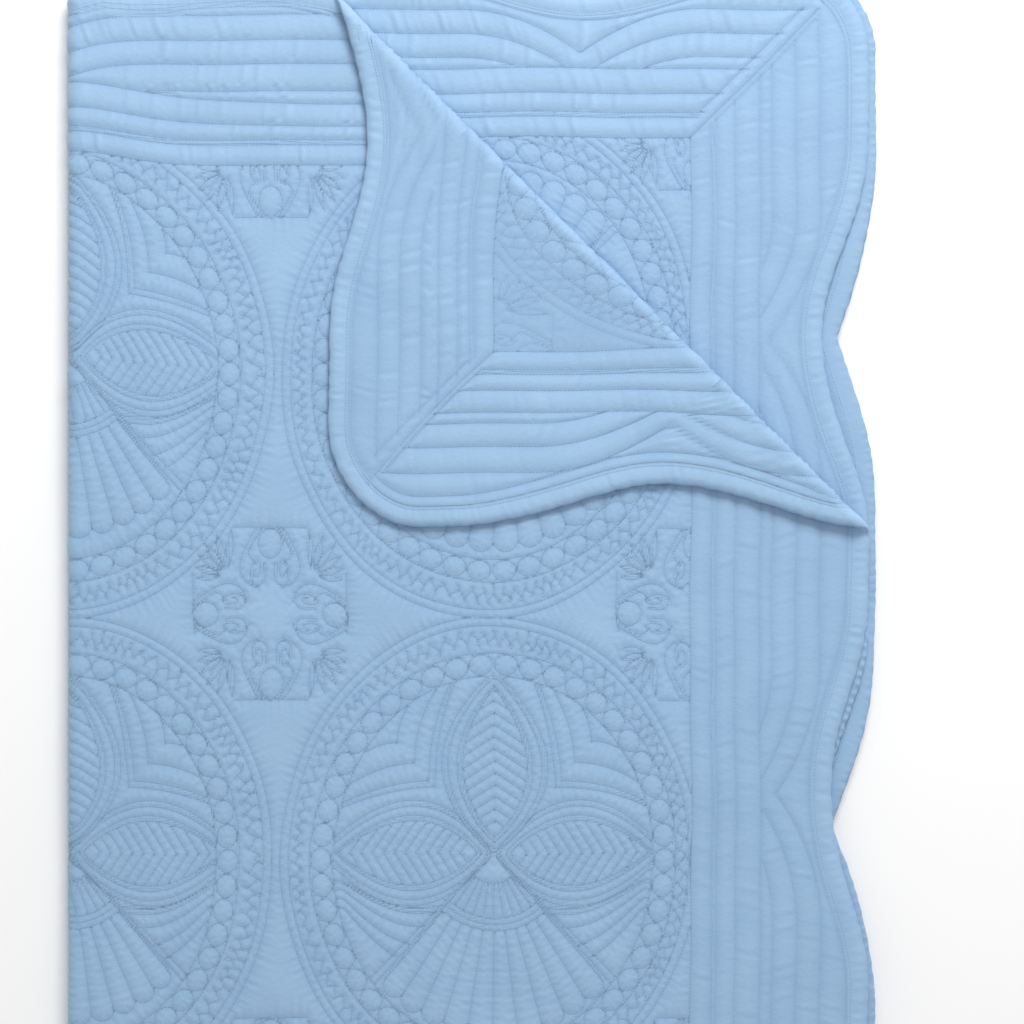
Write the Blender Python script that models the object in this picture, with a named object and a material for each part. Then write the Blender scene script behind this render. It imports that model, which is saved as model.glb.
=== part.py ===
"""Baby quilt: scalloped whole cloth, folded in quarters, one corner turned back.

Each piece is drafted flat as a thin slab, its quilting is raised in the points
of the slab's faces, and the slab is then bent along the folds.
"""
import math

import bmesh
import bpy

# The flat draft is drawn in steps of this many metres.
STEP = 0.0005715

# Flat outline, in draft steps from the centre of the open quilt.
FRAME_U = 626.0
FRAME_V = 940.0
CREST = 178.0
CORNER_RADIUS = 92.0
SCALLOP_RUN = 200.0
SHARP_RUN = 180.0
BAND = 20.0

# Where the scallops meet along each side of the open quilt, and how far out each dip is.
SIDES = {
    "top": {"half": FRAME_U, "valleys": [-408.0, 2.0, 412.0], "lows": [140.0, 158.0, 140.0]},
    "right": {
        "half": FRAME_V,
        "valleys": [-736.0, -247.0, 310.0, 777.0],
        "lows": [133.0, 133.0, 140.0, 140.0],
    },
    "bottom": {
        "half": FRAME_U,
        "valleys": [-516.0, -172.0, 172.0, 516.0],
        "lows": [140.0, 140.0, 140.0, 140.0],
    },
    "left": {
        "half": FRAME_V,
        "valleys": [-742.0, -250.0, 270.0, 766.0],
        "lows": [140.0, 133.0, 133.0, 140.0],
    },
}

# Medallions: column and row spacing, and the oval ring's half width and height.
COLUMN_PITCH = 424.0
ROW_PITCH = 487.0
RING_U = 206.0
RING_V = 240.0
RING_SEGMENTS = 32

# Thickness, seam gap and layer spacing, in metres.
THICK = 0.003
SEAM = 0.0003
LAYER = 0.0036
PUFF = 0.0012

# Crossways fold, then lengthways fold, then the turned-back corner.
FOLD_V = 19.0 * STEP
FOLD_U = 14.0 * STEP
CROSS_RADIUS = LAYER / 2
LENGTH_RADIUS = LAYER
LENGTH_CENTRE = 1.5 * LAYER
CREASE_SUM = 1369.0 * STEP
CREASE_RADIUS = 0.0036
FLAP_REST = 0.0044
FLAP_SETTLE = 0.03

ROOT2 = math.sqrt(2.0)


def edge_offset(side, s):
    """Distance of the scalloped edge outside the frame line, at s along a side."""
    half = SIDES[side]["half"]
    valleys = SIDES[side]["valleys"]
    nearest = min(range(len(valleys)), key=lambda index: abs(s - valleys[index]))
    sharp = side == "left"
    run = SHARP_RUN if sharp else SCALLOP_RUN
    for low, high in zip(valleys, valleys[1:]):
        if low <= s <= high:
            run = min(run, (high - low) / 2)
    share = min(abs(s - valleys[nearest]) / run, 1.0)
    rise = math.sin(share * math.pi / 2) if sharp else (1 - math.cos(share * math.pi)) / 2
    low = SIDES[side]["lows"][nearest]
    offset = low + (CREST - low) * rise
    over = abs(s) - (half + CREST - CORNER_RADIUS)
    if over > 0:
        round_in = CREST - CORNER_RADIUS + math.sqrt(max(CORNER_RADIUS ** 2 - over ** 2, 0.0))
        offset = min(offset, round_in)
    return offset


def corner_reach():
    """Offset of the rounded corner's middle from the frame line."""
    return CREST - CORNER_RADIUS * (1 - 1 / ROOT2)


def edge_point(side, s, inward):
    """Point of the outline at s, moved inward along its normal, as (s, offset)."""
    limit = SIDES[side]["half"] + corner_reach()
    low = max(s - 3.0, -limit)
    high = min(s + 3.0, limit)
    slope = (edge_offset(side, high) - edge_offset(side, low)) / (high - low)
    if abs(s) >= limit - 0.5:
        slope = -math.copysign(1.0, s)
    length = math.hypot(slope, 1.0)
    return s + slope / length * inward, edge_offset(side, s) - inward / length


def to_flat(side, s, offset):
    """Turn (s, offset) on a side into (u, v) of the open quilt, in metres."""
    if side == "top":
        return s * STEP, (FRAME_V + offset) * STEP
    if side == "right":
        return (FRAME_U + offset) * STEP, s * STEP
    if side == "bottom":
        return s * STEP, -(FRAME_V + offset) * STEP
    return -(FRAME_U + offset) * STEP, s * STEP


def side_columns(side):
    """Positions along a side's edge, closer together where the side is seen."""
    half = SIDES[side]["half"]
    end = half + corner_reach()
    valleys = SIDES[side]["valleys"]
    turn = half + CREST - CORNER_RADIUS
    marks = [-end, -turn] + valleys + [turn, end]
    columns = []
    for low, high in zip(marks, marks[1:]):
        middle = (low + high) / 2
        seen = 42.0
        hidden = 75.0
        if side == "left":
            pitch = hidden
        elif side == "right":
            pitch = seen if middle > 0 or middle < -550 else hidden
        else:
            pitch = seen if middle > 0 else hidden
        count = max(int(math.ceil((high - low) / pitch)), 2)
        for index in range(count):
            columns.append(low + (high - low) * index / count)
    columns.append(end)
    return columns


def new_sheet():
    """Empty mesh with a layer that stores how far each point is puffed up."""
    bm = bmesh.new()
    bm.verts.layers.float.new("puff")
    return bm


def add_vert(bm, u, v, puff):
    vert = bm.verts.new((u, v, 0.0))
    vert[bm.verts.layers.float["puff"]] = puff
    return vert


def add_grid(bm, rows):
    """Faces between rows of points."""
    for row, above in zip(rows, rows[1:]):
        for index in range(len(row) - 1):
            bm.faces.new((row[index], row[index + 1], above[index + 1], above[index]))


def border_sheet(side):
    """One border strip, mitred at both ends, with channels along its length."""
    bm = new_sheet()
    half = SIDES[side]["half"]
    inset = SEAM / 2 / STEP
    trim = 1.0 - inset * ROOT2 / half
    reach = half + corner_reach()
    if side == "left":
        straight = [(0.0, 0.0), (30.0, 1.0), (59.0, 0.0)]
        outer = [(0.5, 1.0), (1.0, 0.0)]
    else:
        straight = [(0.0, 0.0), (12.0, 0.8), (24.0, 0.0), (41.0, 1.0), (59.0, 0.0)]
        outer = [(0.25, 1.0), (0.5, 0.0), (0.75, 1.0), (1.0, 0.0)]
    grid = [[] for _ in range(len(straight) + len(outer))]
    for s in side_columns(side):
        outside_s, outside_t = edge_point(side, s, BAND + inset)
        inside_s = s * half / reach
        outside_s = outside_s * trim
        inside_s = inside_s * trim
        for index, (offset, puff) in enumerate(straight):
            share = offset / outside_t
            along = inside_s + (outside_s - inside_s) * share
            u, v = to_flat(side, along, max(offset, inset))
            grid[index].append(add_vert(bm, u, v, puff))
        last = straight[-1][0]
        for index, (share, puff) in enumerate(outer):
            offset = last + (outside_t - last) * share
            along = inside_s + (outside_s - inside_s) * offset / outside_t
            u, v = to_flat(side, along, offset)
            grid[len(straight) + index].append(add_vert(bm, u, v, puff))
    add_grid(bm, grid)
    return bm


def binding_sheet():
    """The band round the whole scalloped edge."""
    bm = new_sheet()
    loop = []
    for side in ("top", "right", "bottom", "left"):
        columns = side_columns(side)
        if side in ("right", "bottom"):
            columns = columns[::-1]
        for s in columns[:-1]:
            loop.append((side, s))
    rows = [[], [], []]
    for side, s in loop:
        for row, (inward, puff) in zip(rows, ((BAND, 0.3), (BAND / 2, 1.0), (0.0, -1.0))):
            along, offset = edge_point(side, s, inward)
            u, v = to_flat(side, along, offset)
            row.append(add_vert(bm, u, v, puff))
    for row in rows:
        row.append(row[0])
    add_grid(bm, rows)
    return bm


# Rings of a medallion, as a share of its oval, with the puff on each.
RINGS = [
    (0.36, 1.0),
    (0.54, 0.8),
    (0.70, 0.0),
    (0.785, 1.0),
    (0.86, 0.0),
    (0.93, 0.7),
    (0.985, 0.0),
]


def cell_edge_point(angle_index):
    """Point on the edge of a medallion's cell, by index round the cell."""
    per_side = RING_SEGMENTS // 4
    side = angle_index // per_side
    share = (angle_index % per_side) / per_side * 2 - 1
    half_u = COLUMN_PITCH / 2
    half_v = ROW_PITCH / 2
    if side == 0:
        return half_u, share * half_v
    if side == 1:
        return -share * half_u, half_v
    if side == 2:
        return -half_u, -share * half_v
    return share * half_u, -half_v


def quilted_cell(bm, centre_u, centre_v):
    """A cell with its medallion: rings round a four-part flower."""
    edge = []
    directions = []
    for index in range(RING_SEGMENTS):
        du, dv = cell_edge_point(index)
        directions.append(math.atan2(dv / RING_V, du / RING_U))
        corner = min(abs(du) / (COLUMN_PITCH / 2), abs(dv) / (ROW_PITCH / 2))
        u = (centre_u + du) * STEP
        v = (centre_v + dv) * STEP
        edge.append(add_vert(bm, u, v, corner ** 2))
    rings = []
    for share, puff in RINGS:
        ring = []
        for angle in directions:
            lobes = 1.0
            if share < 0.7:
                lobes = 0.55 + 0.45 * math.cos(4 * angle)
            u = (centre_u + RING_U * share * math.cos(angle)) * STEP
            v = (centre_v + RING_V * share * math.sin(angle)) * STEP
            ring.append(add_vert(bm, u, v, puff * lobes))
        rings.append(ring)
    rings.append(edge)
    middle = add_vert(bm, centre_u * STEP, centre_v * STEP, 0.0)
    for index in range(RING_SEGMENTS):
        after = (index + 1) % RING_SEGMENTS
        bm.faces.new((middle, rings[0][index], rings[0][after]))
        for inner, outer in zip(rings, rings[1:]):
            bm.faces.new((inner[index], outer[index], outer[after], inner[after]))


def plain_cell(bm, centre_u, centre_v):
    """A cell that is never seen, as one flat face."""
    edge = []
    for index in range(RING_SEGMENTS):
        du, dv = cell_edge_point(index)
        edge.append(add_vert(bm, (centre_u + du) * STEP, (centre_v + dv) * STEP, 0.0))
    bm.faces.new(edge)


def panel_sheet():
    """The field of three by four cells, trimmed at the frame line."""
    bm = new_sheet()
    for column in (-1, 0, 1):
        for row in (-1.5, -0.5, 0.5, 1.5):
            centre_u = column * COLUMN_PITCH
            centre_v = row * ROW_PITCH
            if column >= 0 and (row > 0 or (row == -1.5 and column == 1)):
                quilted_cell(bm, centre_u, centre_v)
            else:
                plain_cell(bm, centre_u, centre_v)
    bmesh.ops.remove_doubles(bm, verts=bm.verts[:], dist=1e-5)
    limit_u = FRAME_U * STEP - SEAM / 2
    limit_v = FRAME_V * STEP - SEAM / 2
    for place, normal in (
        ((limit_u, 0, 0), (1, 0, 0)),
        ((-limit_u, 0, 0), (-1, 0, 0)),
        ((0, limit_v, 0), (0, 1, 0)),
        ((0, -limit_v, 0), (0, -1, 0)),
    ):
        cut(bm, place, normal, clear=True)
    puff = bm.verts.layers.float["puff"]
    for vert in bm.verts:
        margin = min(limit_u - abs(vert.co.x), limit_v - abs(vert.co.y))
        if margin < 0.002:
            vert[puff] = 0.0
    return bm


def cut(bm, place, normal, clear=False):
    """Cut the sheet along a straight line."""
    geometry = bm.verts[:] + bm.edges[:] + bm.faces[:]
    bmesh.ops.bisect_plane(
        bm, geom=geometry, dist=1e-5, plane_co=place, plane_no=normal, clear_outer=clear
    )


def cut_at_crease(bm, distance):
    """Cut the sheet along a line parallel to the turned corner's crease."""
    along = CREASE_SUM / 2 + distance / ROOT2
    cut(bm, (along, along, 0), (1, 1, 0))


def cut_seen_edges(bm):
    """Cut the sheet where the raised quilting starts, beside the crease."""
    roll = math.pi * CREASE_RADIUS
    for distance in (-0.016, -0.004, roll, roll + 0.012):
        cut_at_crease(bm, distance)
    for distance in (0.010, 0.022):
        across = (CREASE_SUM - 2 * FOLD_V + math.pi * CROSS_RADIUS + distance * ROOT2) / 2
        cut(bm, (across, -across, 0), (1, -1, 0))


def cut_folds(bm):
    """Cut the slab along every line where it will bend."""
    for index in range(5):
        v = FOLD_V - math.pi * CROSS_RADIUS * index / 4
        cut(bm, (0, v, 0), (0, 1, 0))
    for index in range(9):
        u = FOLD_U - math.pi * LENGTH_RADIUS * index / 8
        cut(bm, (u, 0, 0), (1, 0, 0))
    roll = math.pi * CREASE_RADIUS
    for index in range(9):
        cut_at_crease(bm, roll * index / 8)
    for distance in (0.015, 0.035, 0.07):
        cut_at_crease(bm, roll + distance)


def ease(value):
    """Smooth step from 0 to 1."""
    value = min(max(value, 0.0), 1.0)
    return value * value * (3 - 2 * value)


def inside_outline(u, v):
    """How far a flat point lies inside the outline, in metres, roughly."""
    s_u = u / STEP
    s_v = v / STEP
    side_u = "right" if s_u > 0 else "left"
    side_v = "top" if s_v > 0 else "bottom"
    limit_v = FRAME_V + corner_reach()
    limit_u = FRAME_U + corner_reach()
    if abs(s_v) > FRAME_V + CREST or abs(s_u) > FRAME_U + CREST:
        return -0.05
    room_u = FRAME_U + edge_offset(side_u, max(min(s_v, limit_v), -limit_v)) - abs(s_u)
    room_v = FRAME_V + edge_offset(side_v, max(min(s_u, limit_u), -limit_u)) - abs(s_v)
    return min(room_u, room_v) * STEP


def front_mask(u, v):
    """Where the front's quilting is seen: the top layer, outside the turned corner."""
    if u < FOLD_U or v < FOLD_V:
        return 0.0
    past = (u + v - CREASE_SUM) / ROOT2
    if past > -0.004:
        return 0.0
    mirror_u = CREASE_SUM - v
    mirror_v = CREASE_SUM - u
    covered = inside_outline(mirror_u, mirror_v)
    return ease((-covered - 0.010) / 0.012) * ease((u - FOLD_U) / 0.01)


def back_mask(u, v):
    """Where the back's quilting is seen: on the turned corner and in the gap it leaves."""
    if u < FOLD_U:
        return 0.0
    if v > FOLD_V:
        past = (u + v - CREASE_SUM) / ROOT2 - math.pi * CREASE_RADIUS
        return ease(past / 0.012)
    folded_v = 2 * FOLD_V - v - math.pi * CROSS_RADIUS
    past = (u + folded_v - CREASE_SUM) / ROOT2
    return ease((past - 0.010) / 0.012)


def fold(u, v, w):
    """Bend a point of the flat slab: turned corner, crossways fold, lengthways fold."""
    past = (u + v - CREASE_SUM) / ROOT2
    along = (u - v) / ROOT2
    roll = math.pi * CREASE_RADIUS
    if past > 0:
        if past < roll:
            angle = past / CREASE_RADIUS
            reach = (CREASE_RADIUS - w) * math.sin(angle)
            height = CREASE_RADIUS - (CREASE_RADIUS - w) * math.cos(angle)
        else:
            back = past - roll
            settle = math.exp(-back / FLAP_SETTLE)
            reach = -back
            height = FLAP_REST + (2 * CREASE_RADIUS - FLAP_REST) * settle - w
        middle = (reach * ROOT2 + CREASE_SUM) / 2
        u = middle + along / ROOT2
        v = middle - along / ROOT2
        w = height
    beyond = FOLD_V - v
    if beyond > 0:
        arc = math.pi * CROSS_RADIUS
        if beyond < arc:
            angle = beyond / CROSS_RADIUS
            v = FOLD_V - (CROSS_RADIUS + w) * math.sin(angle)
            w = (CROSS_RADIUS + w) * math.cos(angle) - CROSS_RADIUS
        else:
            v = FOLD_V + beyond - arc
            w = -2 * CROSS_RADIUS - w
    beyond = FOLD_U - u
    if beyond > 0:
        arc = math.pi * LENGTH_RADIUS
        if beyond < arc:
            angle = beyond / LENGTH_RADIUS
            u = FOLD_U - (LENGTH_CENTRE + w) * math.sin(angle)
            w = (LENGTH_CENTRE + w) * math.cos(angle) - LENGTH_CENTRE
        else:
            u = FOLD_U + beyond - arc
            w = -2 * LENGTH_CENTRE - w
    return u, v, w


# The folded quilt's own frame: middle of its footprint, on the surface it lies on.
FLOOR = -2 * LENGTH_CENTRE - THICK / 2
LEFT = FOLD_U - LENGTH_CENTRE - THICK / 2
RIGHT = 2 * FOLD_U + (FRAME_U + CREST) * STEP - math.pi * LENGTH_RADIUS
NEAR = FOLD_V - CROSS_RADIUS - THICK / 2
FAR = 2 * FOLD_V + (FRAME_V + CREST) * STEP - math.pi * CROSS_RADIUS


def split_walls(bm):
    """Split each side wall's quads the same way, so neighbours' walls stay parallel."""
    for face in bm.faces[:]:
        if len(face.verts) != 4 or abs(face.normal.z) > 0.3:
            continue
        order = sorted(face.verts, key=lambda vert: vert.co.x * 0.73 + vert.co.y)
        start = min(order[:2], key=lambda vert: vert.co.z)
        end = max(order[2:], key=lambda vert: vert.co.z)
        linked = any(end in edge.verts for edge in start.link_edges)
        if not linked:
            bmesh.utils.face_split(face, start, end)


def build(name, bm, colour, is_binding=False):
    """Thicken, puff, cut and fold a flat sheet, and make it an object."""
    cut_seen_edges(bm)
    bmesh.ops.recalc_face_normals(bm, faces=bm.faces[:])
    for vert in bm.verts:
        vert.co.z = -THICK / 2
    result = bmesh.ops.extrude_face_region(bm, geom=bm.faces[:])
    upper = [item for item in result["geom"] if isinstance(item, bmesh.types.BMVert)]
    for vert in upper:
        vert.co.z = THICK / 2
    puff = bm.verts.layers.float["puff"]
    for vert in bm.verts:
        u, v, w = vert.co
        amount = vert[puff]
        if is_binding and amount < 0.3:
            share = (0.3 - amount) / 1.3
            vert.co.z = w * (1.0 - 0.55 * share)
        elif w > 0:
            vert.co.z = w + PUFF * amount * front_mask(u, v)
        else:
            vert.co.z = w - PUFF * amount * back_mask(u, v)
    bmesh.ops.recalc_face_normals(bm, faces=bm.faces[:])
    bmesh.ops.dissolve_limit(bm, angle_limit=0.0003, verts=bm.verts[:], edges=bm.edges[:])
    cut_folds(bm)
    bm.normal_update()
    split_walls(bm)
    bmesh.ops.triangulate(bm, faces=bm.faces[:])
    for vert in bm.verts:
        u, v, w = fold(*vert.co)
        vert.co = (u - (LEFT + RIGHT) / 2, v - (NEAR + FAR) / 2, w - FLOOR)
    bmesh.ops.recalc_face_normals(bm, faces=bm.faces[:])
    if bm.calc_volume(signed=True) < 0:
        bmesh.ops.reverse_faces(bm, faces=bm.faces[:])
    mesh = bpy.data.meshes.new(name)
    bm.to_mesh(mesh)
    bm.free()
    item = bpy.data.objects.new(name, mesh)
    bpy.context.collection.objects.link(item)
    material = bpy.data.materials.new(name)
    material.use_nodes = True
    surface = material.node_tree.nodes["Principled BSDF"]
    surface.inputs["Base Color"].default_value = colour
    surface.inputs["Roughness"].default_value = 0.85
    mesh.materials.append(material)
    return item


for old in list(bpy.data.objects):
    bpy.data.objects.remove(old)

CLOTH = (0.44, 0.62, 0.83, 1.0)
EDGE = (0.42, 0.60, 0.82, 1.0)

build("centre_panel", panel_sheet(), CLOTH)
for border in ("top", "right", "bottom", "left"):
    build("border_" + border, border_sheet(border), CLOTH)
build("edge_binding", binding_sheet(), EDGE, is_binding=True)
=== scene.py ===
# %% [markdown]
# A baby quilt of pale blue cotton, folded in quarters, with its top corner turned back.
# The real one is two cotton cloths with a thin filling, sewn through by hand in thousands of
# small running stitches. Each line of stitches pulls the cloths together and the filling
# puffs up between the lines. The scene keeps that order: first the flat draft of the quilt,
# then its stitch lines, then the puffed cloth, and last the folds.

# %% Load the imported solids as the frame
import math

import bmesh
import bpy
import numpy as np
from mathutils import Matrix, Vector
from mathutils.kdtree import KDTree


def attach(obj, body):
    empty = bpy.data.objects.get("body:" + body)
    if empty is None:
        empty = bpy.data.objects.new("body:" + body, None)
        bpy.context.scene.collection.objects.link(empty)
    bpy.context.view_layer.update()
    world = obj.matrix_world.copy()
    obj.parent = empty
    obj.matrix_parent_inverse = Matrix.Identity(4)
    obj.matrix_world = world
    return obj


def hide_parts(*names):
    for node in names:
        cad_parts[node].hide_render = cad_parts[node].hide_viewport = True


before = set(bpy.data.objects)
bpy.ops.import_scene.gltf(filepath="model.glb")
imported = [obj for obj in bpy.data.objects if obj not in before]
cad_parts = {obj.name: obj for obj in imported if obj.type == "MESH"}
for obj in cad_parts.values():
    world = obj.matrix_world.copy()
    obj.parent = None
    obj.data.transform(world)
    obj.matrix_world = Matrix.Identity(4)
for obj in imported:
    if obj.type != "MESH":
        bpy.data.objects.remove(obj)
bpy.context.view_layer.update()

# %% [markdown]
# Every length on the flat quilt is given in draft steps of 0.5715 mm, as the solids have them.
# The quilt could be modelled already folded, but then each medallion would have to be bent by
# hand. It is easier to draft it open, where all its curves are plain ovals and straight lines,
# and to fold it at the very end with one function.

# %% The draft's measures
STEP = 0.0005715
FRAME_U, FRAME_V = 626.0, 940.0
CREST = 178.0
SCALLOP_RUN = 200.0
SHARP_RUN = 180.0
CORNER_RADIUS = 92.0
BAND = 20.0
COLUMN_PITCH, ROW_PITCH = 424.0, 487.0
SIDES = {
    "top": {"half": FRAME_U, "valleys": [-408.0, 2.0, 412.0], "lows": [140.0, 158.0, 140.0]},
    "right": {"half": FRAME_V, "valleys": [-736.0, -247.0, 310.0, 777.0],
              "lows": [133.0, 133.0, 140.0, 140.0]},
    "bottom": {"half": FRAME_U, "valleys": [-516.0, -172.0, 172.0, 516.0], "lows": [140.0] * 4},
    "left": {"half": FRAME_V, "valleys": [-742.0, -250.0, 270.0, 766.0],
             "lows": [140.0, 133.0, 133.0, 140.0]},
}
THICK = 0.003
LAYER = 0.0036
print("borders are", round(CREST * STEP * 1000), "mm wide at the scallops' tops")


# %% The scalloped edge
def near_valley(side, s):
    """Half the width of the scallop at s, how far its nearest dip is, and which dip that is."""
    valleys = np.array(SIDES[side]["valleys"])
    widest = SHARP_RUN if side == "left" else SCALLOP_RUN
    after = np.searchsorted(valleys, s)
    before_index = np.clip(after - 1, 0, len(valleys) - 1)
    after_index = np.clip(after, 0, len(valleys) - 1)
    gap = valleys[after_index] - valleys[before_index]
    run = np.where(gap > 0, np.minimum(gap / 2, widest), widest)
    closer = np.abs(s - valleys[before_index]) <= np.abs(s - valleys[after_index])
    nearest = np.where(closer, before_index, after_index)
    return run, np.abs(s - valleys[nearest]), nearest


def edge_offset(side, s):
    """How far the edge lies outside the frame line, at s along a side."""
    s = np.asarray(s, float)
    half = SIDES[side]["half"]
    run, away, nearest = near_valley(side, s)
    share = np.clip(away / run, 0.0, 1.0)
    rise = np.sin(share * np.pi / 2) if side == "left" else (1 - np.cos(share * np.pi)) / 2
    dip = np.array(SIDES[side]["lows"])[nearest]
    offset = dip + (CREST - dip) * rise
    over = np.clip(np.abs(s) - (half + CREST - CORNER_RADIUS), 0.0, None)
    rest = np.sqrt(np.clip(CORNER_RADIUS ** 2 - over ** 2, 0.0, None))
    return np.where(over > 0, np.minimum(offset, CREST - CORNER_RADIUS + rest), offset)


CORNER_REACH = CREST - CORNER_RADIUS * (1 - 1 / math.sqrt(2))
print("a corner's round ends", round(CORNER_REACH * STEP * 1000), "mm outside the frame line")


# %% Places along the edge
def edge_point(side, s, inward):
    """A point at s on the edge, moved inward at right angles to it."""
    s = np.asarray(s, float)
    limit = SIDES[side]["half"] + CORNER_REACH
    low = np.maximum(s - 3.0, -limit)
    high = np.minimum(s + 3.0, limit)
    slope = (edge_offset(side, high) - edge_offset(side, low)) / (high - low)
    slope = np.where(np.abs(s) >= limit - 0.5, -np.sign(s), slope)
    length = np.hypot(slope, 1.0)
    return s + slope / length * inward, edge_offset(side, s) - inward / length


def to_flat(side, s, offset):
    """Turn a place along a side into u and v of the open quilt."""
    if side == "top":
        return s, FRAME_V + offset
    if side == "right":
        return FRAME_U + offset, s
    if side == "bottom":
        return s, -FRAME_V - offset
    return -FRAME_U - offset, s


print("the open quilt is", round(2 * (FRAME_U + CREST) * STEP, 3), "by",
      round(2 * (FRAME_V + CREST) * STEP, 3), "m")

# %% [markdown]
# The folds. A folded quilt could be made by a cloth simulation, but a quilt is pressed flat
# in its pile and its folds are known exactly. So the folding is three bends of the flat sheet:
# the corner rolls back over a diagonal crease, the far half goes under at the crossways fold,
# and the left half goes under at the lengthways fold. The numbers are the solids' own.

# %% Fold the flat sheet
FOLD_V = 19.0 * STEP
FOLD_U = 14.0 * STEP
CROSS_RADIUS = LAYER / 2
LENGTH_RADIUS = LAYER
LENGTH_CENTRE = 1.5 * LAYER
CREASE_SUM = 1369.0 * STEP
CREASE_RADIUS = 0.0036
FLAP_REST = 0.0044
FLAP_SETTLE = 0.03
ROOT2 = math.sqrt(2.0)
FLOOR = -2 * LENGTH_CENTRE - THICK / 2
LEFT = FOLD_U - LENGTH_CENTRE - THICK / 2
RIGHT = 2 * FOLD_U + (FRAME_U + CREST) * STEP - math.pi * LENGTH_RADIUS
NEAR = FOLD_V - CROSS_RADIUS - THICK / 2
FAR = 2 * FOLD_V + (FRAME_V + CREST) * STEP - math.pi * CROSS_RADIUS


def turn_corner(u, v, w):
    """Roll the sheet back over the diagonal crease."""
    past = (u + v - CREASE_SUM) / ROOT2
    along = (u - v) / ROOT2
    roll = math.pi * CREASE_RADIUS
    angle = np.clip(past, 0.0, roll) / CREASE_RADIUS
    rolled_reach = (CREASE_RADIUS - w) * np.sin(angle)
    rolled_height = CREASE_RADIUS - (CREASE_RADIUS - w) * np.cos(angle)
    back = np.clip(past - roll, 0.0, None)
    settle = np.exp(-back / FLAP_SETTLE)
    lying_height = FLAP_REST + (2 * CREASE_RADIUS - FLAP_REST) * settle - w
    lying = past > roll
    reach = np.where(lying, -back, rolled_reach)
    height = np.where(lying, lying_height, rolled_height)
    middle = (reach * ROOT2 + CREASE_SUM) / 2
    turned = past > 0
    new_u = np.where(turned, middle + along / ROOT2, u)
    new_v = np.where(turned, middle - along / ROOT2, v)
    return new_u, new_v, np.where(turned, height, w)


def fold_under(position, w, line, radius, centre):
    """Bend the sheet under itself at a straight line."""
    beyond = line - position
    arc = math.pi * radius
    angle = np.clip(beyond, 0.0, arc) / radius
    bent = line - (centre + w) * np.sin(angle)
    bent_w = (centre + w) * np.cos(angle) - centre
    under = beyond > arc
    bent = np.where(under, line + beyond - arc, bent)
    bent_w = np.where(under, -2 * centre - w, bent_w)
    return np.where(beyond > 0, bent, position), np.where(beyond > 0, bent_w, w)


def swell(x, y):
    """Slow waves that soft layers lie in, about -1 to 1."""
    waves = np.sin(31.0 * x + 11.0 * y + 0.7)
    waves = waves + np.sin(-17.0 * x + 37.0 * y + 2.1)
    waves = waves + 0.8 * np.sin(53.0 * x - 29.0 * y + 4.0)
    waves = waves + 0.6 * np.sin(71.0 * x + 63.0 * y + 1.3)
    return waves / 3.4


SWELL_SHARE = 0.07


def fold(u, v, w):
    """Take points of the flat quilt, in metres, to the folded one."""
    u, v, w = turn_corner(u, v, w)
    v, w = fold_under(v, w, FOLD_V, CROSS_RADIUS, CROSS_RADIUS)
    u, w = fold_under(u, w, FOLD_U, LENGTH_RADIUS, LENGTH_CENTRE)
    x = u - (LEFT + RIGHT) / 2
    y = v - (NEAR + FAR) / 2
    z = (w - FLOOR) * (1 + SWELL_SHARE * swell(x, y))
    return x, y, z


print("folded:", round(RIGHT - LEFT, 3), "by", round(FAR - NEAR, 3), "m")

# %% [markdown]
# The stitch lines. They are the pattern of the quilt: oval medallions with a ring of pearls,
# three leaves and a fan, small flowers between them, and channels along the borders. They could
# be drawn as an image and used as a bump map. Here each line is a formula on the flat draft,
# because then real geometry can be puffed between the lines and nothing blurs up close.

# %% A basket for the stitch lines
SAMPLE = 0.6
sewn = []
rng = np.random.default_rng(7)


def ease(value):
    """Smooth step from 0 to 1."""
    value = np.clip(value, 0.0, 1.0)
    return value * value * (3 - 2 * value)


def running_length(points):
    """How far along a line each of its points lies."""
    steps = np.hypot(*np.diff(points, axis=0).T)
    return np.concatenate([[0.0], np.cumsum(steps)])


def at_length(points, run, at):
    """The u and v that lie at given lengths along a line."""
    return np.interp(at, run, points[:, 0]), np.interp(at, run, points[:, 1])


def sew(points, keep=None):
    """Add one line of stitches, as close points with direction and running length."""
    points = np.asarray(points, float)
    run = running_length(points)
    at = np.linspace(0.0, run[-1], max(int(run[-1] / SAMPLE), 2))
    u, v = at_length(points, run, at)
    direction = np.arctan2(np.gradient(v), np.gradient(u))
    line = np.column_stack([u, v, direction, at + rng.uniform(0.0, 500.0)])
    if keep is not None:
        line = line[keep(u, v)]
    sewn.append(line)


def oval(centre_u, centre_v, half_u, half_v, start=0.0, end=2 * math.pi):
    """Points of an upright oval."""
    count = max(int(abs(end - start) * max(half_u, half_v) / 2), 12)
    angle = np.linspace(start, end, count)
    return np.column_stack([centre_u + half_u * np.cos(angle), centre_v + half_v * np.sin(angle)])


def evenly(points, count):
    """Spread count points evenly along a closed line, with its direction at each."""
    run = running_length(points)
    at = np.linspace(0.0, run[-1], count, endpoint=False)
    u, v = at_length(points, run, at)
    ahead_u, ahead_v = at_length(points, run, (at + 2.0) % run[-1])
    return u, v, np.arctan2(ahead_v - v, ahead_u - u), run[-1]


def in_panel(u, v):
    """Inside the frame line of the centre panel."""
    return (np.abs(u) < FRAME_U - 2.0) & (np.abs(v) < FRAME_V - 2.0)


print("a stitch line is kept as points", SAMPLE, "steps apart")

# %% [markdown]
# A medallion's rim is a double oval line with a row of pearls inside it. Between them a line
# wanders to and fro, which a quilter sews freely. Noise could make such a line, but it would
# cross itself. So it is a wave along the oval, and its pace and its swing change slowly.

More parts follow.
